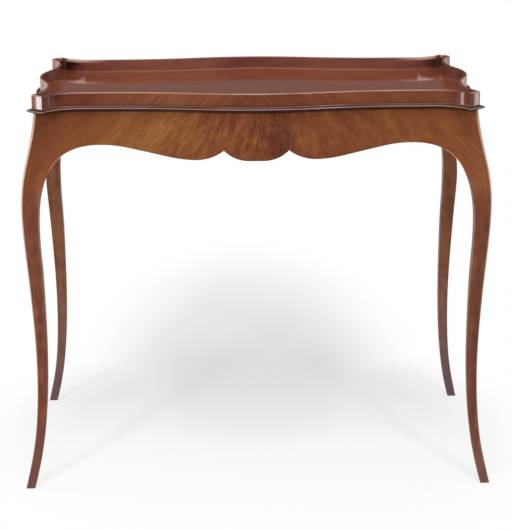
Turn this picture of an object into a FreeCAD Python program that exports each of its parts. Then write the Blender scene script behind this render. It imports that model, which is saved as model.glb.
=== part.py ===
# Tray-top tea table with a serpentine gallery, shaped aprons and four cabriole legs.
# Millimetres, +Z up, origin on the floor under the middle of the tray, front towards -Y.
import FreeCAD, Part
import math
import os
from types import SimpleNamespace
from FreeCAD import Vector

# Overall size
HEIGHT = 700.0                # floor to the rim of the gallery
HALF_LENGTH = 386.0           # middle to the bow of a side, on the gallery's outer face
HALF_WIDTH = 216.0            # middle to the bow of the front, on the gallery's outer face

# Serpentine plan of the gallery's outer face
FRONT_HOLLOW_DEPTH = 28.5
FRONT_STRAIGHT = 43.0
FRONT_FLARE_RUN = 58.0
FRONT_FLARE_RISE = 35.5
FRONT_BOW_SHARE = 0.37        # part of the run from bow to hollow that is convex
SIDE_HOLLOW_DEPTH = 22.5
SIDE_STRAIGHT = 8.0
SIDE_FLARE_RUN = 74.0
SIDE_FLARE_RISE = 18.5
SIDE_BOW_SHARE = 0.5
CANT = 19.0                   # corner cut off at 45 degrees, along each side
CANT_SWELL = 0.8              # the cant is a little convex

# Tray
TRAY_DEPTH = 23.0             # rim to tray floor
GALLERY_THICK = 5.0
GALLERY_ROUND = 2.0           # rounding of the rim
ROUND_SHARE = 0.45            # most of its wall that a rounding may take
REBATE_DEPTH = 2.5            # gallery let into the edge of the board
BOARD_THICK = 6.0
VENEER_THICK = 1.0

# Bead and cove moulding round the board
BEAD_RADIUS = 2.25
COVE_RADIUS = 2.5
QUIRK = 2.65                  # flat between cove and bead
MITRE_WASTE = 0.02            # radians of moulding sawn off past each mitre

# Aprons
FRIEZE_INSET = 3.5            # gallery face to apron face
FRIEZE_FRONT_RUN = 94.7       # the apron flares more gently than the gallery
FRIEZE_FRONT_STRAIGHT = 18.0
FRIEZE_SIDE_RUN = 75.7
FRIEZE_SIDE_STRAIGHT = 8.0
RAIL_THICK = 22.0
APRON_DEEP = 87.1             # apron at its lobes
LOBE_AT = 107.0               # middle of the front to its outer lobes
LOBE_FLAT = 13.0              # half the straight under the middle lobe of the front
CUSP_AT = 56.2
CUSP_RISE = 17.5              # cusp above the lobes
OGEE_SHARE = 0.8              # 1 leaves no straight in the ogee from arch to lobe
ARCH_RISE = 24.9              # top of the arch above the lobes
ARCH_SPAN = 107.0             # top of the arch to the inside of the leg
ARCH_TALL = 138.0             # top of the arch to where it starts on the leg
ARCH_LEG_HANDLE = 0.85        # fullness of the arch curve at its two ends
ARCH_TOP_HANDLE = 0.55
ARRIS_EASE = 0.7              # taken off the lower arris of veneer and legs

# Legs, square in section; "out" is measured from the outer corner at the head
LEG_BACK_X = 3.0              # end of the gallery's cant to the leg, along X
LEG_BACK_Y = 13.0             # arris of the gallery's cant to the leg, along Y
LEG_BLOCK = 41.0              # square block at the head of the leg
HEAD_SLOPE = -0.10
SHOULDER_DROP = 80.0          # below the head
SHOULDER_OUT = 14.2
SHOULDER_SLOPE = -0.235
KNEE_DROP = 162.0
KNEE_OUT = 24.5
SHIN_OUT = 15.6
SHIN_SLOPE = 0.066
ANKLE_Z = 212.0
ANKLE_OUT = 9.2
FOOT_OUT = 33.5
FOOT_SLOPE = -0.28
FOOT_SIDE = 15.8              # side of the square section
ANKLE_SIDE = 18.2
CALF_SIDE = 27.2              # where the arch starts
CHAMFER_HEAD = 4.3            # chamfer on the outer corner
CHAMFER_KNEE = 2.4
CHAMFER_FOOT = 1.0
FLATTEN_DROP = 201.5          # below this the leg's outer faces are flat
SECTIONS_PER_SPAN = 3         # lofted between two stations of the leg
INSIDE_POINTS = 7             # on the inner edge, floor to arch

# Joints and hidden pieces
TENON_THICK = 8.0
TENON_HEIGHT = 50.0
TENON_DROP = 12.0             # apron's top edge to the tenon
TENON_INSET = 7.5             # apron's face to the tenon
TENON_GAP = 0.5               # between the mitred ends of two tenons
JOINT_PLAY = 0.2
GLUE_LINE = 0.1               # between curved faces that are glued
BEARER_WIDE = 40.0
BEARER_THICK = 18.0
STUB_WIDE = 24.0
STUB_THICK = 9.0
STUB_LONG = 10.0
BLOCK_LONG = 34.0
BLOCK_SIDE = 15.0
BLOCK_CHAMFER = 6.0
LONG_BLOCKS_AT = (95.0, 215.0)
SHORT_BLOCKS_AT = (60.0,)

# Levels
FLOOR_Z = HEIGHT - TRAY_DEPTH
BOARD_TOP = FLOOR_Z - VENEER_THICK
REBATE_Z = BOARD_TOP - REBATE_DEPTH
APRON_TOP = BOARD_TOP - BOARD_THICK
LOBE_Z = APRON_TOP - APRON_DEEP
ARCH_Z = LOBE_Z + ARCH_RISE
CALF_Z = ARCH_Z - ARCH_TALL
KNEE_Z = APRON_TOP - KNEE_DROP
SHOULDER_Z = APRON_TOP - SHOULDER_DROP
FLAT_Z = APRON_TOP - FLATTEN_DROP
TENON_Z = (APRON_TOP - TENON_DROP - TENON_HEIGHT, APRON_TOP - TENON_DROP)

# Corner of the gallery, and the head of the leg under it
FRONT_HOLLOW = HALF_WIDTH - FRONT_HOLLOW_DEPTH
SIDE_HOLLOW = HALF_LENGTH - SIDE_HOLLOW_DEPTH
ARRIS_Y = FRONT_HOLLOW + FRONT_FLARE_RISE
ARRIS_X = SIDE_HOLLOW + SIDE_FLARE_RISE
CANT_RADIUS = (CANT ** 2 / 2 + CANT_SWELL ** 2) / (2 * CANT_SWELL)
CANT_BACK = CANT / 2 + (CANT_RADIUS - CANT_SWELL) / math.sqrt(2)
LEG_X = ARRIS_X - LEG_BACK_X
LEG_Y = ARRIS_Y - LEG_BACK_Y
JOINT_X = LEG_X - LEG_BLOCK
JOINT_Y = LEG_Y - LEG_BLOCK
MOULDING_OUT = GLUE_LINE + COVE_RADIUS + QUIRK + BEAD_RADIUS

RIGHT_ANGLE = math.pi / 2
CENTRE = Vector(0, 0, 0)
X_AXIS = Vector(1, 0, 0)
Y_AXIS = Vector(0, 1, 0)
Z_AXIS = Vector(0, 0, 1)
FAR = 2 * (HALF_LENGTH + HALF_WIDTH)


def serpentine(bow, hollow, flare_at, flare_out, flare_run, straight, bow_share):
    """One side in plan: 'at' runs along the side from its middle, the rest is distance out."""
    flare_from = flare_at - flare_run
    hollow_at = flare_from - straight
    turn = 2 * math.atan2(bow - hollow, hollow_at)
    radii = hollow_at / math.sin(turn)
    rise = flare_out - hollow
    return SimpleNamespace(
        bow=bow, hollow=hollow, hollow_at=hollow_at, flare_from=flare_from, turn=turn,
        bow_radius=bow_share * radii, hollow_radius=(1 - bow_share) * radii,
        flare_radius=(flare_run ** 2 + rise ** 2) / (2 * rise),
        cant_centre=(flare_at + CANT - CANT_BACK, flare_out - CANT_BACK))


GALLERY_LONG = serpentine(HALF_WIDTH, FRONT_HOLLOW, ARRIS_X - CANT, ARRIS_Y,
                          FRONT_FLARE_RUN, FRONT_STRAIGHT, FRONT_BOW_SHARE)
GALLERY_SHORT = serpentine(HALF_LENGTH, SIDE_HOLLOW, ARRIS_Y - CANT, ARRIS_X,
                           SIDE_FLARE_RUN, SIDE_STRAIGHT, SIDE_BOW_SHARE)
FRIEZE_LONG = serpentine(HALF_WIDTH - FRIEZE_INSET, FRONT_HOLLOW - FRIEZE_INSET,
                         LEG_X - CHAMFER_HEAD, LEG_Y,
                         FRIEZE_FRONT_RUN, FRIEZE_FRONT_STRAIGHT, FRONT_BOW_SHARE)
FRIEZE_SHORT = serpentine(HALF_LENGTH - FRIEZE_INSET, SIDE_HOLLOW - FRIEZE_INSET,
                          LEG_Y - CHAMFER_HEAD, LEG_X,
                          FRIEZE_SIDE_RUN, FRIEZE_SIDE_STRAIGHT, SIDE_BOW_SHARE)

# Each side is modelled facing +Y and turned into place about Z
TURNS = {"rear": 0, "left": 90, "front": 180, "right": 270}
LONG_SIDES = ("front", "rear")


def on_circle(centre, radius, angle):
    return Vector(centre[0] + radius * math.cos(angle), centre[1] + radius * math.sin(angle), 0)


def arc(centre, radius, start, end):
    points = [on_circle(centre, radius, start + part * (end - start)) for part in (0, 0.5, 1)]
    return Part.Arc(*points).toShape()


def line(a, b):
    return Part.LineSegment(a, b).toShape()


def curve(poles):
    bezier = Part.BezierCurve()
    bezier.setPoles(poles)
    return bezier.toShape()


def face(edges):
    return Part.Face(Part.Wire(Part.__sortEdges__(edges)))


def polygon(corners):
    return Part.Face(Part.makePolygon(corners + corners[:1]))


def slab(flat, low, high):
    solid = flat.extrude(Vector(0, 0, high - low))
    solid.translate(Vector(0, 0, low))
    return solid


def box(x0, x1, y0, y1, z0, z1):
    return Part.makeBox(x1 - x0, y1 - y0, z1 - z0, Vector(x0, y0, z0))


def mirrored(shape):
    return shape.mirror(CENTRE, X_AXIS)


def swapped(point):
    return Vector(point.y, point.x, point.z)


def turned(shape, side):
    copy = shape.copy()
    copy.rotate(CENTRE, Z_AXIS, TURNS[side])
    return copy


# Outlines in plan

def out_at(path, offset, at):
    """How far out a side's outline lies at a place along it, moved out by offset."""
    bow_radius = path.bow_radius + offset
    if at <= bow_radius * math.sin(path.turn):
        return path.bow - path.bow_radius + math.sqrt(bow_radius ** 2 - at ** 2)
    if at <= path.hollow_at:
        depth = math.sqrt((path.hollow_radius - offset) ** 2 - (path.hollow_at - at) ** 2)
        return path.hollow + path.hollow_radius - depth
    run = max(at - path.flare_from, 0)
    return path.hollow + path.flare_radius - math.sqrt((path.flare_radius - offset) ** 2 - run ** 2)


def end_point(path, offset, at):
    return Vector(at, out_at(path, offset, at), 0)


def end_sweep(path, offset, at):
    return math.asin((at - path.flare_from) / (path.flare_radius - offset))


def corner_sweep(path, offset):
    """Angle of the flare at which it meets the arc of the cant, both moved out by offset."""
    flare = path.flare_radius - offset
    cant = CANT_RADIUS + offset
    run = path.cant_centre[0] - path.flare_from
    rise = path.cant_centre[1] - path.hollow - path.flare_radius
    apart = math.hypot(run, rise)
    between = math.acos((flare ** 2 + apart ** 2 - cant ** 2) / (2 * flare * apart))
    return math.atan2(rise, run) + between + RIGHT_ANGLE


def corner_point(path, offset):
    centre = (path.flare_from, path.hollow + path.flare_radius)
    return on_circle(centre, path.flare_radius - offset, corner_sweep(path, offset) - RIGHT_ANGLE)


def half_path(path, offset, sweep):
    """Edges from the middle of a side to the end of its flare, moved out by offset."""
    hollow_out = path.hollow + offset
    return [
        arc((0, path.bow - path.bow_radius), path.bow_radius + offset, RIGHT_ANGLE, RIGHT_ANGLE - path.turn),
        arc((path.hollow_at, path.hollow + path.hollow_radius), path.hollow_radius - offset,
            -RIGHT_ANGLE - path.turn, -RIGHT_ANGLE),
        line(Vector(path.hollow_at, hollow_out, 0), Vector(path.flare_from, hollow_out, 0)),
        arc((path.flare_from, path.hollow + path.flare_radius), path.flare_radius - offset,
            -RIGHT_ANGLE, sweep - RIGHT_ANGLE)]


def whole_path(path, offset, sweep):
    half = half_path(path, offset, sweep)
    return half + [mirrored(edge) for edge in half]


def cant_corners(inner, outer):
    """Corners of a piece across a corner of the tray, from the long side round to the short one."""
    return [corner_point(GALLERY_LONG, inner), corner_point(GALLERY_LONG, outer),
            swapped(corner_point(GALLERY_SHORT, outer)), swapped(corner_point(GALLERY_SHORT, inner))]


def cant_angles(offset):
    """Where the cant starts and ends, as angles about its centre."""
    centre = Vector(*GALLERY_LONG.cant_centre, 0)
    ends = [corner - centre for corner in cant_corners(offset, offset)[1:3]]
    return [math.atan2(end.y, end.x) for end in ends]


def cant_arc(offset):
    return arc(GALLERY_LONG.cant_centre, CANT_RADIUS + offset, *cant_angles(offset))


def tray_outline(offset):
    """The whole serpentine outline with its four cants, moved out by offset."""
    edges = []
    for side in TURNS:
        path = GALLERY_LONG if side in LONG_SIDES else GALLERY_SHORT
        edges += [turned(edge, side) for edge in whole_path(path, offset, corner_sweep(path, offset))]
    cant = cant_arc(offset)
    for edge in (cant, mirrored(cant)):
        edges += [edge, edge.mirror(CENTRE, Y_AXIS)]
    return face(edges)


# Gallery

def rounded_rim(strip, mitres):
    """Round the long edges of the rim and leave the mitred ends square."""
    rim = []
    for edge in strip.Edges:
        middle = edge.valueAt((edge.FirstParameter + edge.LastParameter) / 2)
        at_rim = edge.BoundBox.ZMin > HEIGHT - GALLERY_ROUND
        if at_rim and all(middle.distanceToPoint(mitre) > GLUE_LINE for mitre in mitres):
            rim.append(edge)
    return strip.makeFillet(min(GALLERY_ROUND, ROUND_SHARE * GALLERY_THICK), rim)


def gallery_strip(path):
    outer = corner_point(path, 0)
    inner = corner_point(path, -GALLERY_THICK)
    end = line(outer, inner)
    edges = whole_path(path, 0, corner_sweep(path, 0))
    edges += whole_path(path, -GALLERY_THICK, corner_sweep(path, -GALLERY_THICK))
    strip = slab(face(edges + [end, mirrored(end)]), REBATE_Z, HEIGHT)
    mitre = (outer + inner) * 0.5 + Z_AXIS * HEIGHT
    return rounded_rim(strip, [mitre, Vector(-mitre.x, mitre.y, mitre.z)])


def gallery_corner():
    corners = cant_corners(-GALLERY_THICK, 0)
    ends = [line(*corners[:2]), line(*corners[2:])]
    piece = slab(face(ends + [cant_arc(0), cant_arc(-GALLERY_THICK)]), REBATE_Z, HEIGHT)
    mitres = [(a + b) * 0.5 + Z_AXIS * HEIGHT for a, b in (corners[:2], corners[2:])]
    return rounded_rim(piece, mitres)


# Moulding

def moulding_section(place):
    """Bead under a cove, drawn through place(out, z) so that one shape serves arcs and lines."""
    cove_z = APRON_TOP + 2 * BEAD_RADIUS
    top_z = cove_z + COVE_RADIUS
    cove_out = GLUE_LINE + COVE_RADIUS
    bead_out = MOULDING_OUT - BEAD_RADIUS
    dip = COVE_RADIUS * (1 - math.sqrt(0.5))
    cove = Part.Arc(place(GLUE_LINE, top_z), place(GLUE_LINE + dip, cove_z + dip), place(cove_out, cove_z))
    bead = Part.Arc(place(bead_out, cove_z), place(MOULDING_OUT, APRON_TOP + BEAD_RADIUS),
                    place(bead_out, APRON_TOP))
    return face([
        cove.toShape(), line(place(cove_out, cove_z), place(bead_out, cove_z)), bead.toShape(),
        line(place(bead_out, APRON_TOP), place(GLUE_LINE, APRON_TOP)),
        line(place(GLUE_LINE, APRON_TOP), place(GLUE_LINE, top_z))])


def turned_moulding(centre, radius, outward, start, end):
    """The section revolved about the centre of one arc; outward is +1 on a bow and -1 on a hollow."""
    def place(out, z):
        return on_circle(centre, radius + outward * out, start) + Z_AXIS * z
    axis = Vector(centre[0], centre[1], 0)
    return moulding_section(place).revolve(axis, Z_AXIS, math.degrees(end - start))


def straight_moulding(a, b, outward):
    def place(out, z):
        return a + outward * out + Z_AXIS * z
    return moulding_section(place).extrude(b - a)


def beyond_mitre(path, towards):
    """Everything on one side of the mitre at the end of a strip, to saw the moulding there."""
    inner = corner_point(path, 0)
    along = corner_point(path, MOULDING_OUT) - inner
    low = inner - along
    high = inner + along * 3
    shift = towards * FAR
    return slab(polygon([low, high, high + shift, low + shift]), 0, HEIGHT)


def moulding_strip(path):
    over = corner_sweep(path, MOULDING_OUT) + MITRE_WASTE
    hollow_end = Vector(path.hollow_at, path.hollow, 0)
    half = [
        turned_moulding((0, path.bow - path.bow_radius), path.bow_radius, 1,
                        RIGHT_ANGLE, RIGHT_ANGLE - path.turn),
        turned_moulding((path.hollow_at, path.hollow + path.hollow_radius), path.hollow_radius, -1,
                        -RIGHT_ANGLE - path.turn, -RIGHT_ANGLE),
        straight_moulding(hollow_end, Vector(path.flare_from, path.hollow, 0), Y_AXIS),
        turned_moulding((path.flare_from, path.hollow + path.flare_radius), path.flare_radius, -1,
                        -RIGHT_ANGLE, over - RIGHT_ANGLE).cut(beyond_mitre(path, X_AXIS))]
    pieces = half + [mirrored(piece) for piece in half]
    return pieces[0].multiFuse(pieces[1:]).removeSplitter()


def moulding_corner():
    start, end = cant_angles(MOULDING_OUT)
    waste = (end - start) / 2
    strip = turned_moulding(GALLERY_LONG.cant_centre, CANT_RADIUS, 1, start - waste, end + waste)
    swap = FreeCAD.Matrix(0, 1, 0, 0, 1, 0, 0, 0, 0, 0, 1, 0, 0, 0, 0, 1)
    short_waste = beyond_mitre(GALLERY_SHORT, X_AXIS * -1).transformGeometry(swap)
    return strip.cut(beyond_mitre(GALLERY_LONG, X_AXIS * -1)).cut(short_waste)


# Openings under the aprons

def smooth(stations, z):
    """Cubic through stations of (height, value, slope)."""
    for (z0, v0, s0), (z1, v1, s1) in zip(stations, stations[1:]):
        if z <= z1:
            break
    span = z1 - z0
    t = (z - z0) / span
    rise = 3 * t ** 2 - 2 * t ** 3
    lead = t ** 3 - 2 * t ** 2 + t
    tail = t ** 3 - t ** 2
    return v0 + rise * (v1 - v0) + span * (lead * s0 + tail * s1)


LEG_OUT = [
    (0.0, FOOT_OUT, FOOT_SLOPE),
    (ANKLE_Z, ANKLE_OUT, 0.0),
    ((ANKLE_Z + KNEE_Z) / 2, SHIN_OUT, SHIN_SLOPE),
    (KNEE_Z, KNEE_OUT, 0.0),
    (SHOULDER_Z, SHOULDER_OUT, SHOULDER_SLOPE),
    (APRON_TOP, 0.0, HEAD_SLOPE)]
LEG_TAPER = (CALF_SIDE - FOOT_SIDE) / CALF_Z
LEG_SIDE = [(0.0, FOOT_SIDE, 0.0), (ANKLE_Z, ANKLE_SIDE, LEG_TAPER), (CALF_Z, CALF_SIDE, LEG_TAPER)]
CHAMFER_FADE = (CHAMFER_KNEE - CHAMFER_FOOT) / KNEE_Z
LEG_CHAMFER = [
    (0.0, CHAMFER_FOOT, CHAMFER_FADE),
    (KNEE_Z, CHAMFER_KNEE, CHAMFER_FADE),
    (APRON_TOP, CHAMFER_HEAD, CHAMFER_FADE)]


def arch_edges(corner):
    """Inside of a leg from below the floor to the top of the arch, seen square on."""
    heights = [CALF_Z * step / (INSIDE_POINTS - 1) for step in range(INSIDE_POINTS)]
    points = [Vector(corner + smooth(LEG_OUT, z) - smooth(LEG_SIDE, z), z, 0) for z in heights]
    inside = Part.BSplineCurve()
    inside.interpolate(points, InitialTangent=Vector(FOOT_SLOPE, 1, 0), FinalTangent=Y_AXIS)
    foot = points[0]
    start = points[-1]
    top = Vector(start.x - ARCH_SPAN, ARCH_Z, 0)
    rise = Y_AXIS * (ARCH_LEG_HANDLE * ARCH_TALL)
    run = X_AXIS * (ARCH_TOP_HANDLE * ARCH_SPAN)
    return top, [line(foot - Y_AXIS * FOOT_SIDE, foot), inside.toShape(),
                 curve([start, start + rise, top + run, top])]


def ogee(high, low):
    """Two equal arcs with a straight between them, which leave one level and arrive at another."""
    run = high.x - low.x
    fall = high.y - low.y
    radius = OGEE_SHARE * (run ** 2 + fall ** 2) / (4 * fall)
    apart = math.hypot(run, 2 * radius - fall)
    turn = math.asin(2 * radius / apart) - math.atan2(2 * radius - fall, run)
    top = (high.x, high.y - radius)
    bottom = (low.x, low.y + radius)
    return [arc(top, radius, RIGHT_ANGLE, RIGHT_ANGLE + turn),
            line(on_circle(top, radius, RIGHT_ANGLE + turn), on_circle(bottom, radius, turn - RIGHT_ANGLE)),
            arc(bottom, radius, turn - RIGHT_ANGLE, -RIGHT_ANGLE)]


def lobe_arc(low, cusp):
    """Arc that leaves its lowest point level and climbs to the cusp."""
    run = cusp.x - low.x
    rise = cusp.y - low.y
    radius = (run ** 2 + rise ** 2) / (2 * rise)
    return arc((low.x, low.y + radius), radius, -RIGHT_ANGLE, math.asin(run / radius) - RIGHT_ANGLE)


def opening(edges):
    """Space under an apron and between two legs, sawn right through along Y."""
    foot = edges[0].Vertexes[0].Point
    sill = line(foot, Vector(-foot.x, foot.y, 0))
    flat = face(edges + [mirrored(edge) for edge in edges] + [sill])
    flat.rotate(CENTRE, X_AXIS, 90)
    flat.translate(Y_AXIS * FAR)
    return flat.extrude(Y_AXIS * (-2 * FAR))


def long_opening():
    top, edges = arch_edges(LEG_X)
    lobe = Vector(LOBE_AT, LOBE_Z, 0)
    cusp = Vector(CUSP_AT, LOBE_Z + CUSP_RISE, 0)
    middle = Vector(0, LOBE_Z, 0)
    flat_end = Vector(LOBE_FLAT, LOBE_Z, 0)
    lobes = [lobe_arc(lobe, cusp), lobe_arc(flat_end, cusp), line(flat_end, middle)]
    return opening(edges + ogee(top, lobe) + lobes)


def short_opening():
    top, edges = arch_edges(LEG_Y)
    return opening(edges + ogee(top, Vector(0, LOBE_Z, 0)))


# Aprons with their tenons and veneer

CORE_OFF = -(VENEER_THICK + GLUE_LINE)
BACK_OFF = CORE_OFF - RAIL_THICK
TENON_Y = out_at(FRIEZE_LONG, CORE_OFF, JOINT_X) - TENON_INSET - TENON_THICK / 2
TENON_X = out_at(FRIEZE_SHORT, CORE_OFF, JOINT_Y) - TENON_INSET - TENON_THICK / 2


def tenon(shoulder, own, other):
    """Tenon at the end of a rail, mitred where it meets the tenon of the next rail."""
    half = TENON_THICK / 2
    return slab(polygon([
        Vector(shoulder, own - half, 0), Vector(other - half - TENON_GAP, own - half, 0),
        Vector(other + half - TENON_GAP, own + half, 0), Vector(shoulder, own + half, 0)]), *TENON_Z)


def rail_blank(path, at):
    end = line(end_point(path, CORE_OFF, at), end_point(path, BACK_OFF, at))
    edges = whole_path(path, CORE_OFF, end_sweep(path, CORE_OFF, at))
    edges += whole_path(path, BACK_OFF, end_sweep(path, BACK_OFF, at))
    return slab(face(edges + [end, mirrored(end)]), CALF_Z, APRON_TOP)


def apron(path, at, own, other, space):
    tongue = tenon(at, own, other)
    rail = rail_blank(path, at).cut(space)
    return rail.multiFuse([tongue, mirrored(tongue)]).removeSplitter()


def looks_to(side, outward):
    """True if the middle of a face points within 45 degrees of outward."""
    u0, u1, v0, v1 = side.ParameterRange
    return side.normalAt((u0 + u1) / 2, (v0 + v1) / 2).dot(outward) > math.sqrt(0.5)


def eased(solid, outward, space):
    """Ease the arris where the face that looks outward meets a sawn opening."""
    arris = []
    for edge in solid.Edges:
        middle = edge.valueAt((edge.FirstParameter + edge.LastParameter) / 2)
        sawn = space.distToShape(Part.Vertex(middle))[0] < GLUE_LINE / 2
        if sawn and any(looks_to(side, outward) for side in solid.ancestorsOfType(edge, Part.Face)):
            arris.append(edge)
    return solid.makeChamfer(ARRIS_EASE, arris)


def veneer_leaf(path, at, space):
    """Right-hand leaf of the matched pair that covers an apron."""
    edges = half_path(path, 0, end_sweep(path, 0, at))
    edges += half_path(path, -VENEER_THICK, end_sweep(path, -VENEER_THICK, at))
    edges.append(line(end_point(path, 0, at), end_point(path, -VENEER_THICK, at)))
    edges.append(line(end_point(path, 0, 0), end_point(path, -VENEER_THICK, 0)))
    return eased(slab(face(edges), CALF_Z, APRON_TOP).cut(space), Y_AXIS, space)


# Legs

def leg_heights():
    heights = [0.0]
    for (low, _, _), (high, _, _) in zip(LEG_OUT, LEG_OUT[1:]):
        step = (high - low) / SECTIONS_PER_SPAN
        heights += [low + step * count for count in range(1, SECTIONS_PER_SPAN + 1)]
    return heights


def outer_edge(path, at, end_at, end_out, blend, z):
    """Poles of one outer face at height z: it leaves the apron's face and runs to the chamfer."""
    slope = blend * math.tan(end_sweep(path, 0, at))
    start_out = blend * out_at(path, 0, at) + (1 - blend) * end_out
    half = (end_at - at) / 2
    middle = Vector(at + half, start_out + slope * half, z)
    return [Vector(at, start_out, z), middle, Vector(end_at, end_out, z)]


def leg_section(z):
    x = LEG_X + smooth(LEG_OUT, z)
    y = LEG_Y + smooth(LEG_OUT, z)
    chamfer = smooth(LEG_CHAMFER, z)
    part = min(max((z - FLAT_Z) / (SHOULDER_Z - FLAT_Z), 0.0), 1.0)
    blend = 3 * part ** 2 - 2 * part ** 3
    long_poles = outer_edge(FRIEZE_LONG, JOINT_X, x - chamfer, y, blend, z)
    short_poles = [swapped(pole) for pole in outer_edge(FRIEZE_SHORT, JOINT_Y, y - chamfer, x, blend, z)]
    inner = Vector(JOINT_X, JOINT_Y, z)
    return Part.Wire([
        curve(long_poles), line(long_poles[2], short_poles[2]), curve(short_poles[::-1]),
        line(short_poles[0], inner), line(inner, long_poles[0])])


def leg(long_space, short_space):
    solid = Part.makeLoft([leg_section(z) for z in leg_heights()], True, False)
    solid = solid.cut(long_space).cut(short_space)
    solid = eased(eased(solid, Y_AXIS, long_space), X_AXIS, short_space)
    half = TENON_THICK / 2 + JOINT_PLAY
    low = TENON_Z[0] - JOINT_PLAY
    high = TENON_Z[1] + JOINT_PLAY
    solid = solid.cut(box(JOINT_X, TENON_X + half, TENON_Y - half, TENON_Y + half, low, high))
    return solid.cut(box(TENON_X - half, TENON_X + half, JOINT_Y, TENON_Y + half, low, high))


# Hidden pieces under the tray

SHOULDER_Y = out_at(FRIEZE_LONG, BACK_OFF, BEARER_WIDE / 2)
STUB_Z = (APRON_TOP - (BEARER_THICK + STUB_THICK) / 2, APRON_TOP - (BEARER_THICK - STUB_THICK) / 2)


def stub(play):
    half = STUB_WIDE / 2 + play
    return box(-half, half, 0, SHOULDER_Y + STUB_LONG + play, STUB_Z[0] - play, STUB_Z[1] + play)


def centre_bearer():
    half = BEARER_WIDE / 2
    body = box(-half, half, -SHOULDER_Y, SHOULDER_Y, APRON_TOP - BEARER_THICK, APRON_TOP)
    return body.multiFuse([turned(stub(0), side) for side in LONG_SIDES]).removeSplitter()


def glue_block(path, at, blank):
    """Rubbed block in the angle of rail and board, planed to the curve of the rail."""
    inner = out_at(path, BACK_OFF, at) - BLOCK_SIDE
    low = APRON_TOP - BLOCK_SIDE
    profile = polygon([
        Vector(at - BLOCK_LONG / 2, y, z) for y, z in (
            (path.bow, APRON_TOP), (inner, APRON_TOP), (inner, low + BLOCK_CHAMFER),
            (inner + BLOCK_CHAMFER, low), (path.bow, low))])
    pieces = profile.extrude(X_AXIS * BLOCK_LONG).cut(blank).Solids
    return min(pieces, key=lambda piece: piece.CenterOfMass.y)


def glue_blocks():
    blocks = []
    for side in TURNS:
        if side in LONG_SIDES:
            path, end, places = FRIEZE_LONG, JOINT_X, LONG_BLOCKS_AT
        else:
            path, end, places = FRIEZE_SHORT, JOINT_Y, SHORT_BLOCKS_AT
        blank = rail_blank(path, end)
        for at in places:
            block = glue_block(path, at, blank)
            blocks += [turned(block, side), turned(mirrored(block), side)]
    return Part.makeCompound(blocks)


def four_corners(name, shape):
    """A corner piece modelled at +X +Y, mirrored to the four corners."""
    front = shape.mirror(CENTRE, Y_AXIS)
    return {name + "_rear_right": shape, name + "_rear_left": mirrored(shape),
            name + "_front_right": front, name + "_front_left": mirrored(front)}


def sides(names, long_shape, short_shape):
    """A piece of a long side and one of a short side, turned to the sides that names lists."""
    return {name: turned(long_shape if side in LONG_SIDES else short_shape, side)
            for side, name in names.items()}


def build():
    long_space = long_opening()
    short_space = short_opening()
    nodes = four_corners("leg", leg(long_space, turned(short_space, "left")))

    long_apron = apron(FRIEZE_LONG, JOINT_X, TENON_Y, TENON_X, long_space).cut(stub(JOINT_PLAY))
    short_apron = apron(FRIEZE_SHORT, JOINT_Y, TENON_X, TENON_Y, short_space)
    nodes.update(sides({side: "apron_" + side for side in TURNS}, long_apron, short_apron))

    long_leaf = veneer_leaf(FRIEZE_LONG, JOINT_X, long_space)
    short_leaf = veneer_leaf(FRIEZE_SHORT, JOINT_Y, short_space)
    first = {"rear": "veneer_rear_right", "front": "veneer_front_left",
             "left": "veneer_left_rear", "right": "veneer_right_front"}
    second = {"rear": "veneer_rear_left", "front": "veneer_front_right",
              "left": "veneer_left_front", "right": "veneer_right_rear"}
    nodes.update(sides(first, long_leaf, short_leaf))
    nodes.update(sides(second, mirrored(long_leaf), mirrored(short_leaf)))

    lower = slab(tray_outline(0), APRON_TOP, REBATE_Z)
    upper = slab(tray_outline(-GALLERY_THICK - GLUE_LINE), REBATE_Z, BOARD_TOP)
    nodes["tray_board"] = lower.fuse(upper)
    nodes["tray_veneer"] = slab(tray_outline(-GALLERY_THICK - JOINT_PLAY), BOARD_TOP, FLOOR_Z)
    nodes.update(sides({side: "gallery_" + side for side in TURNS},
                       gallery_strip(GALLERY_LONG), gallery_strip(GALLERY_SHORT)))
    nodes.update(four_corners("gallery_corner", gallery_corner()))
    nodes.update(sides({side: "moulding_" + side for side in TURNS},
                       moulding_strip(GALLERY_LONG), moulding_strip(GALLERY_SHORT)))
    nodes.update(four_corners("moulding_corner", moulding_corner()))

    nodes["centre_bearer"] = centre_bearer()
    nodes["glue_blocks"] = glue_blocks()
    return nodes


os.makedirs("parts", exist_ok=True)
for node, shape in build().items():
    shape.exportStep("parts/%s.step" % node)
    print(node, len(shape.Solids), round(shape.Volume), shape.isValid())
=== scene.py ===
# %% [markdown]
# # Dressing a tray top tea table
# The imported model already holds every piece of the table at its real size, so nothing is modelled
# twice here. The lesson sets up the photographer's camera, floor and lamps, and then gives each
# kind of wood on the table the finish that the real one has.

# %% Load the table
import math

import bpy
from mathutils import Matrix, Vector


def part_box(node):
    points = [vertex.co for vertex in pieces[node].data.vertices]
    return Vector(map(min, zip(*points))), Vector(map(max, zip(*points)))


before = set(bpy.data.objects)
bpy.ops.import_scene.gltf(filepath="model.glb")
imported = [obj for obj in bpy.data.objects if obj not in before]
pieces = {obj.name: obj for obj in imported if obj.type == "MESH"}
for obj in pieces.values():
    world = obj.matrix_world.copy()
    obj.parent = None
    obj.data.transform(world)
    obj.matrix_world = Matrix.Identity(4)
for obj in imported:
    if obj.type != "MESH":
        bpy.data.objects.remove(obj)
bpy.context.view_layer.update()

# %% [markdown]
# ## Camera
# The table was taken from the front with a long lens, a little above the tray. The place and the
# angles were worked out from the tray's corners and the feet. A roll of a quarter degree stays in,
# because the tray's edge isn't quite level in the picture. The three turns are written as matrices,
# because an Euler angle would mix the roll with the heading.

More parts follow.
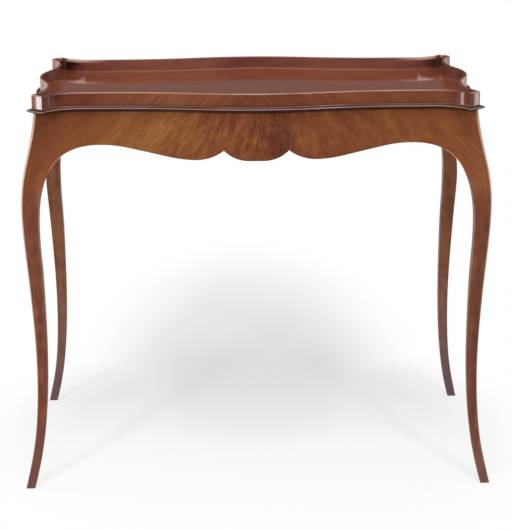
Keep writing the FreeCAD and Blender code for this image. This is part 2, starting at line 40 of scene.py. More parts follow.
# %% Camera
PICTURE_LONG_SIDE = 529        # pixels, which the sensor's width spans
FOCAL_PIXELS = 1797.3
CAMERA_PLACE = (-0.0654, -3.2321, 1.2122)
HEADING = math.radians(1.204)  # towards +X
PITCH = math.radians(15.058)   # downwards
ROLL = math.radians(-0.262)

lens = bpy.data.cameras.new("photo_camera")
lens.sensor_width = 36.0
lens.lens = FOCAL_PIXELS * lens.sensor_width / PICTURE_LONG_SIDE
camera = bpy.data.objects.new("photo_camera", lens)
bpy.context.scene.collection.objects.link(camera)
camera.matrix_world = (Matrix.Translation(CAMERA_PLACE)
                       @ Matrix.Rotation(-HEADING, 4, "Z")
                       @ Matrix.Rotation(math.pi / 2 - PITCH, 4, "X")
                       @ Matrix.Rotation(ROLL, 4, "Z"))
bpy.context.scene.camera = camera
bpy.context.scene.view_settings.view_transform = "Standard"
print("lens", round(lens.lens, 1), "mm")

# %% [markdown]
# ## Three helpers
# Colours are written as the sRGB codes that a paint chart uses, and shaders want linear light, so
# one function turns them. The next adds a node, sets its properties and fills its sockets with
# values or with links. With it, a material reads from top to bottom like a recipe. The last starts
# a recipe with an empty sheet. Sockets go by name where the name is their own. A Mix node has a pair
# for each kind of data under the same names, so there they go by number: 2 and 3 for numbers, 4 and 5
# for vectors, 6 and 7 for colours, with 0, 1 and 2 for the results.

# %% Colour, node and material helpers
def colour(code):
    """Linear colour of an sRGB hex code."""
    channels = [int(code[place:place + 2], 16) / 255 for place in (1, 3, 5)]
    return [c / 12.92 if c <= 0.04045 else ((c + 0.055) / 1.055) ** 2.4 for c in channels] + [1.0]


def add(tree, kind, sockets=None, stops=None, **settings):
    """Add a node. A socket takes a value or another node's output, a ramp takes (place, colour) stops."""
    node = tree.nodes.new(kind)
    for name, value in settings.items():
        setattr(node, name, value)
    for name, value in (sockets or {}).items():
        if isinstance(value, bpy.types.NodeSocket):
            tree.links.new(value, node.inputs[name])
        else:
            node.inputs[name].default_value = value
    if stops:
        spots = node.color_ramp.elements
        spots.remove(spots[-1])
        spots[0].position, spots[0].color = stops[0]
        for place, shade in stops[1:]:
            spots.new(place).color = shade
    return node


def new_material(name):
    """An empty material and its node tree."""
    material = bpy.data.materials.new(name)
    material.use_nodes = True
    material.node_tree.nodes.clear()
    return material, material.node_tree


print("a mid grey is", [round(channel, 3) for channel in colour("#808080")[:3]], "in linear light")

# %% [markdown]
# ## Floor
# The table stands on a sweep of white paper. Where the lamps don't reach, plain paper would turn
# grey, so it glows there as far as the camera and the polish can see. Close to the table about half
# of the glow is left out, so that the soft shadows show. Two ellipses mark where: one round the feet,
# where each leg draws a faint streak, and one behind the table, where the broad shadow lies. From
# below the paper is clear, so that the underside of the table can be looked at as well.

# %% White paper
PAPER_HALF = 15.0              # metres
SHADOW_BEHIND = {"centre": (0.0, 0.42, 0.0), "half": (0.29, 0.85, 1.0),
                 "fades": (0.45, 1.35), "within": 0.47}
SHADOW_AT_FEET = {"centre": (0.0, 0.0, 0.0), "half": (0.42, 0.50, 1.0),
                  "fades": (0.85, 1.4), "within": 0.57}


def glow_round(tree, centre, half, fades, within):
    """Share of the glow: a part of it within an ellipse on the floor, all of it outside."""
    place = add(tree, "ShaderNodeTexCoord")
    away = add(tree, "ShaderNodeVectorMath", {0: place.outputs["Object"], 1: centre},
               operation="SUBTRACT")
    away = add(tree, "ShaderNodeVectorMath", {0: away.outputs[0], 1: half}, operation="DIVIDE")
    away = add(tree, "ShaderNodeVectorMath", {0: away.outputs[0]}, operation="LENGTH")
    share = add(tree, "ShaderNodeMapRange", {"Value": away.outputs["Value"], "From Min": fades[0],
                                             "From Max": fades[1], "To Min": within},
                interpolation_type="SMOOTHSTEP")
    return share.outputs["Result"]


bpy.ops.object.select_all(action="DESELECT")
bpy.ops.mesh.primitive_plane_add(size=2 * PAPER_HALF)
paper = bpy.context.object
paper.name = "paper_floor"
print("paper", 2 * PAPER_HALF, "m square")

# %% Material of the paper
material, tree = new_material("white_paper")
share = add(tree, "ShaderNodeMath", {0: glow_round(tree, **SHADOW_BEHIND),
                                     1: glow_round(tree, **SHADOW_AT_FEET)}, operation="MINIMUM")
ray = add(tree, "ShaderNodeLightPath")
seen = add(tree, "ShaderNodeMath", {0: ray.outputs["Is Camera Ray"], 1: ray.outputs["Is Glossy Ray"]},
           operation="MAXIMUM")
seen = add(tree, "ShaderNodeMath", {0: seen.outputs[0], 1: ray.outputs["Is Transmission Ray"]},
           operation="MAXIMUM")
glow = add(tree, "ShaderNodeMath", {0: seen.outputs[0], 1: share.outputs[0]}, operation="MULTIPLY")
matt = add(tree, "ShaderNodeBsdfDiffuse", {"Color": colour("#fcfcfc")})
bright = add(tree, "ShaderNodeEmission", {"Color": colour("#ffffff"), "Strength": 1.0})
both = add(tree, "ShaderNodeMixShader", {0: glow.outputs[0], 1: matt.outputs[0], 2: bright.outputs[0]})
face = add(tree, "ShaderNodeNewGeometry")
clear = add(tree, "ShaderNodeBsdfTransparent")
sheet = add(tree, "ShaderNodeMixShader", {0: face.outputs["Backfacing"], 1: both.outputs[0],
                                          2: clear.outputs[0]})
add(tree, "ShaderNodeOutputMaterial", {"Surface": sheet.outputs[0]})
paper.data.materials.append(material)
print("paper material has", len(tree.nodes), "nodes")

# %% [markdown]
# ## Black card
# White paper far in front of the table would show in the polish as a grey haze and take the depth
# out of the wood. A photographer lays a black card there, well outside the picture. This one is hidden
# from the camera, so that it doesn't show when the table is looked at from behind. The paper between
# the card and the table stays bare, because it throws light under the table onto the rear legs.

# %% Black card in front
CARD_NEAR = -1.9               # metres along Y
CARD_FAR = -14.0
CARD_WIDE = 14.0
CARD_THICK = 0.003

bpy.ops.object.select_all(action="DESELECT")
bpy.ops.mesh.primitive_cube_add(size=1.0, location=(0, (CARD_NEAR + CARD_FAR) / 2, CARD_THICK / 2),
                                scale=(CARD_WIDE, CARD_NEAR - CARD_FAR, CARD_THICK))
card = bpy.context.object
card.name = "black_card"
card.visible_camera = False
material, tree = new_material("black_card")
matt = add(tree, "ShaderNodeBsdfDiffuse", {"Color": colour("#1c1a19")})
add(tree, "ShaderNodeOutputMaterial", {"Surface": matt.outputs[0]})
card.data.materials.append(material)
print("card", CARD_WIDE, "m wide")

# %% [markdown]
# ## Lamps
# Five softboxes light the table. The large one high in front draws the pale lines along rim and
# bead. Two smaller ones to the left and right of the camera light the front and draw the streaks
# that run from the feet under the table. One low on each side shows as a bright strip in the
# chamfers of the legs and in the canted corners. The lamps themselves are hidden from the camera.

# %% Softboxes
def softbox(name, place, target, wide, high, radiance):
    """Rectangular lamp that faces a point. Radiance is how bright its cloth looks."""
    lamp = bpy.data.lights.new(name, "AREA")
    lamp.shape = "RECTANGLE"
    lamp.size = wide
    lamp.size_y = high
    lamp.energy = radiance * math.pi * wide * high
    stand = bpy.data.objects.new(name, lamp)
    stand.visible_camera = False
    bpy.context.scene.collection.objects.link(stand)
    aim = Vector(target) - Vector(place)
    stand.matrix_world = Matrix.Translation(place) @ aim.to_track_quat("-Z", "Y").to_matrix().to_4x4()
    print(name, round(lamp.energy), "W")
    return stand


softbox("top_softbox", place=(0.0, -1.45, 2.9), target=(0, 0, 0.68),
        wide=1.4, high=1.4, radiance=6.4)
softbox("front_left_flash", place=(-1.25, -2.03, 1.55), target=(0, 0, 0.4),
        wide=0.25, high=0.25, radiance=91.0)
softbox("front_right_flash", place=(1.02, -2.03, 1.55), target=(0, 0, 0.4),
        wide=0.25, high=0.25, radiance=74.0)
left_softbox = softbox("left_softbox", place=(-2.1, -0.05, 0.30), target=(0, -0.05, 0.30),
                       wide=1.4, high=0.5, radiance=8.0)
softbox("right_softbox", place=(2.1, 0.15, 0.30), target=(0, 0.15, 0.30),
        wide=0.45, high=0.5, radiance=6.0)

# %% [markdown]
# ## Sparkle in the corners
# Two bright spots lie on the tray in front of its rear corners. There the tray mirrors the curved
# gallery, and the gallery mirrors a strip of light beside the camera. If they shone on everything,
# the strips would lie as white bars on the tray when it is seen from behind. So light linking chooses
# what they shine on, as flags on stands do in a studio: the rear and the sides of the gallery.

# %% Light strips for the gallery
def linked(name, chosen, state="INCLUDE"):
    """Collection of the pieces that a lamp shines on, or with EXCLUDE of those it leaves out."""
    group = bpy.data.collections.new(name)
    for piece in chosen:
        group.objects.link(piece)
    for entry in group.collection_objects:
        entry.light_linking.link_state = state
    return group


rear_and_sides = linked("gallery_rear_and_sides", [
    piece for name, piece in pieces.items() if name.startswith("gallery") and "front" not in name])
for name, side, radiance in (("left_strip", -1, 15.0), ("right_strip", 1, 14.0)):
    strip = softbox(name, place=(side * 2.1, -1.45, 1.09), target=(0, 0, 0.6),
                    wide=1.8, high=0.36, radiance=radiance)
    strip.light_linking.receiver_collection = rear_and_sides

# %% [markdown]
# ## Front left corner
# The canted corner at the front left has a bright patch beside a dark edge. A strip of its own draws
# the patch, and the left softbox leaves the corner out, because it would light the edge as well. The
# strip stands in front of that softbox, because it didn't show in the polish with both in one plane.

# %% Light strip for the front left corner
front_left = [pieces["gallery_corner_front_left"]]
corner_strip = softbox("corner_strip", place=(-1.9, -0.26, 0.42), target=(0, -0.26, 0.42),
                       wide=0.42, high=0.5, radiance=21.0)
corner_strip.light_linking.receiver_collection = linked("corner_only", front_left)
left_softbox.light_linking.receiver_collection = linked("all_but_corner", front_left, "EXCLUDE")
print("one strip shines on", front_left[0].name)

# %% [markdown]
# ## Studio
# A dim grey room fills the rest. It is paler at the horizon, where it meets the paper, and overhead.
# The strip in between is darker, because the tray reflects that part of the room behind the table.

# %% Studio walls
DARKEST = "#484644"
PALEST = "#c0c0c0"

world = bpy.data.worlds.new("studio")
bpy.context.scene.world = world
world.use_nodes = True
tree = world.node_tree
tree.nodes.clear()
place = add(tree, "ShaderNodeTexCoord")
way = add(tree, "ShaderNodeSeparateXYZ", {"Vector": place.outputs["Generated"]})
front = add(tree, "ShaderNodeValToRGB", {"Fac": way.outputs["Z"]}, stops=[
    (0.0, colour("#8c8a88")), (0.12, colour("#5a5856")), (0.4, colour(DARKEST)),
    (0.9, colour("#b0b0b0"))])
back = add(tree, "ShaderNodeValToRGB", {"Fac": way.outputs["Z"]}, stops=[
    (0.0, colour("#b4b2b0")), (0.12, colour("#64625f")), (0.24, colour("#64625f")),
    (0.40, colour("#9c9a98")), (0.9, colour(PALEST))])
behind = add(tree, "ShaderNodeMapRange", {"Value": way.outputs["Y"], "From Min": -0.1, "From Max": 0.5})
sky = add(tree, "ShaderNodeMix", {0: behind.outputs["Result"], 6: front.outputs["Color"],
                                  7: back.outputs["Color"]}, data_type="RGBA")
air = add(tree, "ShaderNodeBackground", {"Color": sky.outputs[2], "Strength": 1.0})
add(tree, "ShaderNodeOutputWorld", {"Surface": air.outputs[0]})
print("studio from", DARKEST, "up to", PALEST)

# %% [markdown]
# ## Figure in the wood
# Mahogany shows fine dark streaks along the fibres and broad bands of lighter and darker wood. Noise
# that is drawn out along the grain gives both. Several layers of different widths are added up, as a
# painter would glaze one streak over another.

# %% Straight grain, streaks and figure
DEPTH = 90.0           # mm over which the figure changes into the wood
EVEN = 0.5             # what a figure gives where no streak shows


def straight_grain(tree, across, depth, along):
    """Grain along one axis, in metres. The three are axis letters."""
    place = add(tree, "ShaderNodeTexCoord")
    at = add(tree, "ShaderNodeSeparateXYZ", {"Vector": place.outputs["Object"]})
    grain = add(tree, "ShaderNodeCombineXYZ", {"X": at.outputs[across], "Y": at.outputs[depth],
                                               "Z": at.outputs[along]})
    return grain.outputs[0]


def streaks(tree, grain, wide, long, detail=2.0):
    """Noise drawn out along the grain: a streak is about wide by long, in mm."""
    stretch = (1000 / wide, 1000 / DEPTH, 1000 / long)
    spot = add(tree, "ShaderNodeVectorMath", {0: grain, 1: stretch}, operation="MULTIPLY")
    noise = add(tree, "ShaderNodeTexNoise", {"Vector": spot.outputs[0], "Scale": 1.0, "Detail": detail})
    return noise.outputs["Fac"]


def figure(tree, grain, layers, contrast):
    """Layers of (wide, long, share) streaks added up, EVEN on average."""
    total = 0.0
    for wide, long, share in layers:
        layer = add(tree, "ShaderNodeMath", {0: streaks(tree, grain, wide, long), 1: share, 2: total},
                    operation="MULTIPLY_ADD")
        total = layer.outputs[0]
    middle = sum(share for _, _, share in layers) / 2
    total = add(tree, "ShaderNodeMath", {0: total, 1: contrast, 2: EVEN - middle * contrast},
                operation="MULTIPLY_ADD")
    return total.outputs[0]


print("figure changes every", DEPTH, "mm into the wood")

# %% [markdown]
# ## Matched leaves
# On aprons and gallery the veneer is laid in matched pairs, so that the grain leans away from the
# middle of each side like a feather, and more so further out. A fibre then moves outwards by a fixed
# share of its distance for each millimetre that it comes down: an exponential. On the legs the same
# fibres run on and stand upright below the arch, so that no seam shows between leg and apron.

# %% Run along a side
def along_side(tree, place, at):
    """How far a spot is along the side that it faces, and how deep, in metres."""
    facing = add(tree, "ShaderNodeVectorMath", {0: place.outputs["Normal"]}, operation="ABSOLUTE")
    facing = add(tree, "ShaderNodeSeparateXYZ", {"Vector": facing.outputs[0]})
    end = add(tree, "ShaderNodeMath", {0: facing.outputs["X"], 1: facing.outputs["Y"]},
              operation="GREATER_THAN")
    run = add(tree, "ShaderNodeMix", {0: end.outputs[0], 2: at.outputs["X"], 3: at.outputs["Y"]})
    depth = add(tree, "ShaderNodeMix", {0: end.outputs[0], 2: at.outputs["Y"], 3: at.outputs["X"]})
    return run.outputs[0], depth.outputs[0]


print("front and rear run along X, the ends along Y")

# %% Matched grain
LEVEL = 0.62           # height in metres at which the grain has its true width
BEND = 0.05            # metres over which it comes upright
LEAF_APART = 0.37      # metres of flitch between the two leaves of a pair
WAVE = 0.018           # metres by which the fibres waver
WAVES = 12.0           # to a metre


def matched_grain(tree, fans, apex, upright_below):
    """Grain that leans away from the middle of each side, in metres.

    The fans are the heights over which the two leaves spread out. Gives (across, depth, along), and
    the distance from the middle measured along the lean.
    """
    place = add(tree, "ShaderNodeTexCoord")
    at = add(tree, "ShaderNodeSeparateXYZ", {"Vector": place.outputs["Object"]})
    run, depth = along_side(tree, place, at)
    side = add(tree, "ShaderNodeMath", {0: run}, operation="SIGN")
    height = add(tree, "ShaderNodeMath", {0: at.outputs["Z"], 1: upright_below, 2: BEND},
                 operation="SMOOTH_MAX")
    height = add(tree, "ShaderNodeMath", {0: height.outputs[0], 1: LEVEL}, operation="SUBTRACT")
    rate = add(tree, "ShaderNodeMapRange", {"Value": side.outputs[0], "From Min": -1.0, "From Max": 1.0,
                                            "To Min": 1 / fans[0], "To Max": 1 / fans[1]})
    lean = add(tree, "ShaderNodeMath", {0: height.outputs[0], 1: rate.outputs["Result"]},
               operation="MULTIPLY")
    spread = add(tree, "ShaderNodeMath", {0: lean.outputs[0]}, operation="EXPONENT")
    reach = add(tree, "ShaderNodeMath", {0: run}, operation="ABSOLUTE")
    reach = add(tree, "ShaderNodeMath", {0: reach.outputs[0], 1: apex}, operation="ADD")
    across = add(tree, "ShaderNodeMath", {0: reach.outputs[0], 1: spread.outputs[0]},
                 operation="MULTIPLY")
    wave = add(tree, "ShaderNodeTexNoise", {"Vector": place.outputs["Object"], "Scale": WAVES,
                                            "Detail": 1.0})
    across = add(tree, "ShaderNodeMath", {0: wave.outputs["Fac"], 1: WAVE, 2: across.outputs[0]},
                 operation="MULTIPLY_ADD")
    depth = add(tree, "ShaderNodeMath", {0: side.outputs[0], 1: LEAF_APART, 2: depth},
                operation="MULTIPLY_ADD")
    grain = add(tree, "ShaderNodeCombineXYZ", {"X": across.outputs[0], "Y": depth.outputs[0],
                                               "Z": at.outputs["Z"]})
    leaf = add(tree, "ShaderNodeMath", {0: across.outputs[0], 1: apex + WAVE / 2}, operation="SUBTRACT")
    leaf = add(tree, "ShaderNodeMath", {0: leaf.outputs[0], 1: side.outputs[0]}, operation="MULTIPLY")
    return grain.outputs[0], leaf.outputs[0]


print("leaves are cut", LEAF_APART, "m apart")

# %% [markdown]
# ## Tone along a side
# A leaf of veneer isn't even: it has paler and darker zones, and its figure is strong in the crotch
# of the tree and plain further out. A short list tells both for places along the side, in metres
# from its middle.
# On the gallery the list also paints the dark reflections at its flared ends.

# %% Tone and strength along a side
HALF_SPAN = 0.5        # metres of the list on either side of the middle


def leaf_level(tree, leaf, leaves, mottle):
    """Lightness of the wood from a list of (place in metres, tone, strength of the figure)."""
    along = add(tree, "ShaderNodeMapRange", {"Value": leaf, "From Min": -HALF_SPAN,
                                             "From Max": HALF_SPAN})
    ramp = add(tree, "ShaderNodeValToRGB", {"Fac": along.outputs["Result"]}, stops=[
        (place + HALF_SPAN, [tone, strength, 0.0, 1.0]) for place, tone, strength in leaves])
    share = add(tree, "ShaderNodeSeparateColor", {"Color": ramp.outputs["Color"]})
    swing = add(tree, "ShaderNodeMath", {0: mottle, 1: EVEN}, operation="SUBTRACT")
    level = add(tree, "ShaderNodeMath", {0: swing.outputs[0], 1: share.outputs["Green"],
                                         2: share.outputs["Red"]}, operation="MULTIPLY_ADD")
    return level.outputs[0]


print("tone lists span", 2 * HALF_SPAN, "m")

# %% [markdown]
# ## French polish
# Many thin coats of shellac are rubbed on with a pad until they fill the pores. They give the eye a
# clear mirror over deep colour. The mirror is all in the coat, so the wood under it hardly mirrors by
# itself. Where hands and dusters wear the polish, the mirror goes first, so its body and its
# roughness can be set for each piece.

# %% French polish
PORE_WIDE = 1.6        # mm; real pores are a quarter of this, too fine for the picture
PORE_LONG = 14.0
PORE_DEEP = 0.0002     # metres
CLOUD = 60             # mm, patches of finer and coarser wood under the polish
CLOUDED = {"From Min": 0.3, "From Max": 0.7, "To Min": 0.32, "To Max": 0.46}
SHELLAC_IOR = 1.5


def french_polish(tree, wood, grain, body, rough):
    """Clear shellac over the wood: a mirror on top of wood that is almost without a sheen."""
    pores = streaks(tree, grain, PORE_WIDE, PORE_LONG, detail=0.0)
    rise = add(tree, "ShaderNodeBump", {"Height": pores, "Strength": 0.15, "Distance": PORE_DEEP})
    cloud = add(tree, "ShaderNodeMapRange", {"Value": streaks(tree, grain, CLOUD, CLOUD), **CLOUDED})
    surface = add(tree, "ShaderNodeBsdfPrincipled", {
        "Base Color": wood, "Roughness": cloud.outputs["Result"], "IOR": 1.5,
        "Specular IOR Level": 0.02, "Normal": rise.outputs[0],
        "Coat Weight": body, "Coat Roughness": rough, "Coat IOR": SHELLAC_IOR})
    add(tree, "ShaderNodeOutputMaterial", {"Surface": surface.outputs[0]})


print("pores", PORE_WIDE, "by", PORE_LONG, "mm")

# %% [markdown]
# ## Wood of legs and aprons
# The legs are solid mahogany and the aprons are veneered, but the eye takes them as one wood, so one
# recipe serves both. The feathered veneer is golden brown with dark plumes in the middle. Below the
# arches it passes into the wood of the legs, which is a shade redder and mottled. The rear legs are
# painted paler, as light that the table top shades off them.

# %% Wood of legs and aprons
FRIEZE_LAYERS = [(36, 260, 1.0), (11, 80, 0.7), (4, 22, 0.5), (24, 24, 0.8), (6, 14, 0.9)]
LEG_LAYERS = [(10, 160, 1.0), (5, 40, 0.8), (18, 16, 0.7)]
FRIEZE_LEAVES = [(-0.40, 0.45, 0.35), (-0.30, 0.54, 0.4), (-0.17, 0.62, 0.65), (-0.09, 0.51, 0.85),
                 (-0.03, 0.50, 1.0), (0.03, 0.38, 1.0), (0.08, 0.50, 0.75), (0.40, 0.52, 0.45)]
# The rear legs are painted paler, as light that the table top shades off them.
REAR_PAINTED_LIGHT = {"From Min": 0.0, "From Max": 0.2, "To Max": 0.10}      # by Y in metres
VENEER_TO_LEG = {"From Min": 0.60, "From Max": 0.46}                 # by height in metres


def frieze_wood(tree, at):
    """Colour of the veneer above and of the solid leg below, and the grain that both follow."""
    grain, leaf = matched_grain(tree, fans=(0.33, 0.58), apex=0.10, upright_below=0.57)
    level = leaf_level(tree, leaf, FRIEZE_LEAVES, figure(tree, grain, FRIEZE_LAYERS, contrast=0.42))
    veneer = add(tree, "ShaderNodeValToRGB", {"Fac": level}, stops=[
        (0.15, colour("#421f1b")), (0.38, colour("#643624")), (0.52, colour("#794529")),
        (0.85, colour("#9f6e3c"))])
    rear_light = add(tree, "ShaderNodeMapRange", {"Value": at.outputs["Y"], **REAR_PAINTED_LIGHT})
    solid = add(tree, "ShaderNodeMath", {0: level, 1: rear_light.outputs["Result"]}, operation="ADD")
    mottle = figure(tree, straight_grain(tree, "X", "Y", "Z"), LEG_LAYERS, contrast=0.34)
    solid = add(tree, "ShaderNodeMath", {0: solid.outputs[0], 1: mottle}, operation="ADD")
    solid = add(tree, "ShaderNodeMath", {0: solid.outputs[0], 1: EVEN}, operation="SUBTRACT")
    solid = add(tree, "ShaderNodeValToRGB", {"Fac": solid.outputs[0]}, stops=[
        (0.15, colour("#3f221b")), (0.38, colour("#5d3726")), (0.52, colour("#704030")),
        (0.85, colour("#916246"))])
    down = add(tree, "ShaderNodeMapRange", {"Value": at.outputs["Z"], **VENEER_TO_LEG},
               interpolation_type="SMOOTHSTEP")
    wood = add(tree, "ShaderNodeMix", {0: down.outputs["Result"], 6: veneer.outputs["Color"],
                                       7: solid.outputs["Color"]}, data_type="RGBA")
    return wood.outputs[2], grain


print("veneer passes into the legs at", VENEER_TO_LEG["From Max"], "to", VENEER_TO_LEG["From Min"], "m")

# %% [markdown]
# ## Wear on the legs
# A light line follows each leg's outer edge down to the foot, and another the arch beside it: painted
# highlights, with some wear from hands and cloths. Such an edge is found by the way it faces. The
# feet are painted grey as a reflection of the pale floor, the rear ones further up.

# %% Rubbed edges with painted highlights
CHAMFER = {"From Min": 0.45, "From Max": 0.62}        # by how far a face turns to the corner
CHAMFER_STRENGTH = {"From Min": 0.30, "From Max": 0.55, "To Min": 0.32, "To Max": 0.66}  # by height
ARCH_SLANT = {"From Min": 0.40, "From Max": 0.50}     # by its turn between front and side
ARCH_UNDER = {"From Min": -0.12, "From Max": -0.28}   # by how far it looks down
ARCH_HIGH = {"From Min": 0.545, "From Max": 0.560}    # by height in metres


def highlit_edges(tree, place, at):
    """Where the wood is painted pale, a highlight with some wear: the outer chamfer of a leg, and the
    arch edge beside it.
    """
    corner = add(tree, "ShaderNodeVectorMath", {0: place.outputs["Object"]}, operation="SIGN")
    out = add(tree, "ShaderNodeVectorMath", {0: place.outputs["Normal"], 1: corner.outputs[0]},
              operation="MULTIPLY")
    out = add(tree, "ShaderNodeSeparateXYZ", {"Vector": out.outputs[0]})
    least = add(tree, "ShaderNodeMath", {0: out.outputs["X"], 1: out.outputs["Y"]}, operation="MINIMUM")
    edge_strength = add(tree, "ShaderNodeMapRange", {"Value": at.outputs["Z"], **CHAMFER_STRENGTH})
    chamfer = add(tree, "ShaderNodeMapRange", {"Value": least.outputs[0], **CHAMFER,
                                               "To Max": edge_strength.outputs["Result"]},
                  interpolation_type="SMOOTHSTEP")
    slant = add(tree, "ShaderNodeVectorMath", {0: place.outputs["Normal"]}, operation="ABSOLUTE")
    slant = add(tree, "ShaderNodeSeparateXYZ", {"Vector": slant.outputs[0]})
    slant = add(tree, "ShaderNodeMath", {0: slant.outputs["X"], 1: slant.outputs["Y"]},
                operation="MINIMUM")
    edge = add(tree, "ShaderNodeMapRange", {"Value": slant.outputs[0], **ARCH_SLANT})
    under = add(tree, "ShaderNodeMapRange", {"Value": out.outputs["Z"], **ARCH_UNDER})
    arch = add(tree, "ShaderNodeMath", {0: edge.outputs["Result"], 1: under.outputs["Result"]},
               operation="MULTIPLY")
    high = add(tree, "ShaderNodeMapRange", {"Value": at.outputs["Z"], **ARCH_HIGH})
    arch = add(tree, "ShaderNodeMath", {0: arch.outputs[0], 1: high.outputs["Result"]},
               operation="MULTIPLY")
    both = add(tree, "ShaderNodeMath", {0: chamfer.outputs["Result"], 1: arch.outputs[0]},
               operation="MAXIMUM")
    return both.outputs[0]


# The arch edges get their painted highlight above this height.
print("arches are rubbed above", ARCH_HIGH["From Min"], "m")

# %% Painted floor reflection on the feet
GREYED_UP_TO = {"From Min": -0.2, "From Max": 0.2, "To Min": 0.14, "To Max": 0.34}  # metres, by Y
GREYED_BY = {"From Min": -0.2, "From Max": 0.2, "To Min": 0.26, "To Max": 0.58}     # share, by Y
GREYED_MOST = 0.01    # height in metres


def floor_reflection_on_feet(tree, at):
    """Share of the grey painted on the feet as a reflection of the pale floor, fading out towards the
    shin.
    """
    top = add(tree, "ShaderNodeMapRange", {"Value": at.outputs["Y"], **GREYED_UP_TO})
    most = add(tree, "ShaderNodeMapRange", {"Value": at.outputs["Y"], **GREYED_BY})
    foot = add(tree, "ShaderNodeMapRange", {"Value": at.outputs["Z"], "From Min": top.outputs["Result"],
                                            "From Max": GREYED_MOST, "To Max": most.outputs["Result"]},
               interpolation_type="SMOOTHSTEP")
    return foot.outputs["Result"]


# The feet are painted grey as a reflection of the pale floor.
print("feet are scuffed up to", GREYED_UP_TO["To Min"], "m in front and",
      GREYED_UP_TO["To Max"], "m behind")

# %% [markdown]
# ## Legs and aprons
# Wood, wear and painted light come together under a thin, dull polish. Under the moulding the wood
# has a dark line of painted shade, where the moulding's shadow falls.

# %% Polished mahogany of legs and aprons
BEAD_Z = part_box("moulding_front")[0][2]
# The wood just under the moulding is painted dark: painted shade where the moulding's shadow falls.
SHADE_UNDER_MOULDING = {"From Min": BEAD_Z - 0.007, "From Max": BEAD_Z - 0.001, "To Max": 0.6}      # by height
# Colours of the painted floor reflection, the pale painted edges and the painted shade.
FEET_REFLECTION_GREY = "#6a5e64"
EDGE_HIGHLIGHT = "#d9b8a8"
PAINTED_SHADE_DARK = "#2a120d"


def frieze_mahogany():
    """French-polished mahogany with painted highlights on edges, painted reflection on feet, painted
    shade under the moulding.
    """
    material, tree = new_material("polished_mahogany")
    place = add(tree, "ShaderNodeTexCoord")
    at = add(tree, "ShaderNodeSeparateXYZ", {"Vector": place.outputs["Object"]})
    wood, grain = frieze_wood(tree, at)
    shade_under_moulding = add(tree, "ShaderNodeMapRange", {"Value": at.outputs["Z"], **SHADE_UNDER_MOULDING},
                interpolation_type="SMOOTHSTEP")
    for share, shade in ((floor_reflection_on_feet(tree, at), FEET_REFLECTION_GREY), (highlit_edges(tree, place, at), EDGE_HIGHLIGHT),
                         (shade_under_moulding.outputs["Result"], PAINTED_SHADE_DARK)):
        layer = add(tree, "ShaderNodeMix", {0: share, 6: wood, 7: colour(shade)}, data_type="RGBA")
        wood = layer.outputs[2]
    french_polish(tree, wood, grain, body=0.12, rough=0.3)
    return material


frieze = frieze_mahogany()
print("frieze material has", len(frieze.node_tree.nodes), "nodes")

# %% [markdown]
# ## Wood of the gallery
# The gallery is redder, and its veneer leans over further. Inside the tray the grain runs along. The
# recipe tells inside from outside by the way the wood faces, because each strip is one piece. Its
# ends are painted dark, as the dark reflections in the flared corners.

# %% Wood of the gallery
GALLERY_LAYERS = [(30, 200, 0.9), (9, 60, 0.9), (4.5, 20, 0.5)]
# The darkest tones at the two ends are painted: they stand for the dark reflections in the flared
# corners.
GALLERY_TONES_AND_DARK_ENDS = [(-0.436, 0.08, 0.4), (-0.415, 0.43, 0.6), (-0.24, 0.62, 1.0), (-0.15, 0.62, 1.0),
                  (-0.09, 0.48, 1.0), (0.09, 0.47, 0.8), (0.22, 0.57, 0.8), (0.41, 0.50, 0.6),
                  (0.44, 0.33, 0.6)]
SQUARED = (0.5, 1.0, 0.0)      # shares of X, Y and Z


def faces_outwards(tree, place):
    """How far the wood faces away from the middle of the table, less than nought where it faces in.

    The length counts half, as if the table were square, or the flared ends would count as facing in.
    """
    flat = add(tree, "ShaderNodeVectorMath", {0: place.outputs["Object"], 1: SQUARED},
               operation="MULTIPLY")
    outward = add(tree, "ShaderNodeVectorMath", {0: place.outputs["Normal"], 1: flat.outputs[0]},
                  operation="DOT_PRODUCT")
    return outward.outputs["Value"]


def gallery_wood(tree, inside):
    """Colour of the gallery outside and inside, its grain, and the place along its side."""
    leaning, leaf = matched_grain(tree, fans=(1.0, 1.0), apex=0.85, upright_below=0.5)
    level_grain = straight_grain(tree, "Z", "Y", "X")
    grain = add(tree, "ShaderNodeMix", {0: inside, 4: leaning, 5: level_grain}, data_type="VECTOR")
    grain = grain.outputs[1]
    level = leaf_level(tree, leaf, GALLERY_TONES_AND_DARK_ENDS, figure(tree, grain, GALLERY_LAYERS, contrast=0.36))
    outside = add(tree, "ShaderNodeValToRGB", {"Fac": level}, stops=[
        (0.15, colour("#46221c")), (0.40, colour("#633326")), (0.55, colour("#73422e")),
        (0.85, colour("#915f3c"))])
    lining = add(tree, "ShaderNodeValToRGB", {"Fac": level}, stops=[
        (0.15, colour("#2e1714")), (0.45, colour("#5d312a")), (0.85, colour("#7a4d3b"))])
    wood = add(tree, "ShaderNodeMix", {0: inside, 6: outside.outputs["Color"],
                                       7: lining.outputs["Color"]}, data_type="RGBA")
    return wood.outputs[2], grain, leaf


print("gallery tones are set at", len(GALLERY_TONES_AND_DARK_ENDS), "places along a side")

# %% [markdown]
# ## Wear and painted light on the gallery
# The rim is pale along its top: wear from hands, and a painted highlight on its rounded edge. Inside
# the corners the pale paint comes further down as a painted highlight. A thin painted highlight runs
# where the gallery meets the tray's floor, and its foot outside is painted dark as shade.

# %% Pale wear and painted highlights on the gallery
RIM_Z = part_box("gallery_front")[1][2]
FLOOR_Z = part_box("tray_veneer")[1][2]
# The patches vary both the rim's wear and its painted highlight.
RIM_PATCH_WIDE = 40       # mm, size of the patches in which the rim is rubbed
RIM_PATCH_LONG = 60
RIM = {"From Min": RIM_Z - 0.0024, "From Max": RIM_Z - 0.0004}                       # by height
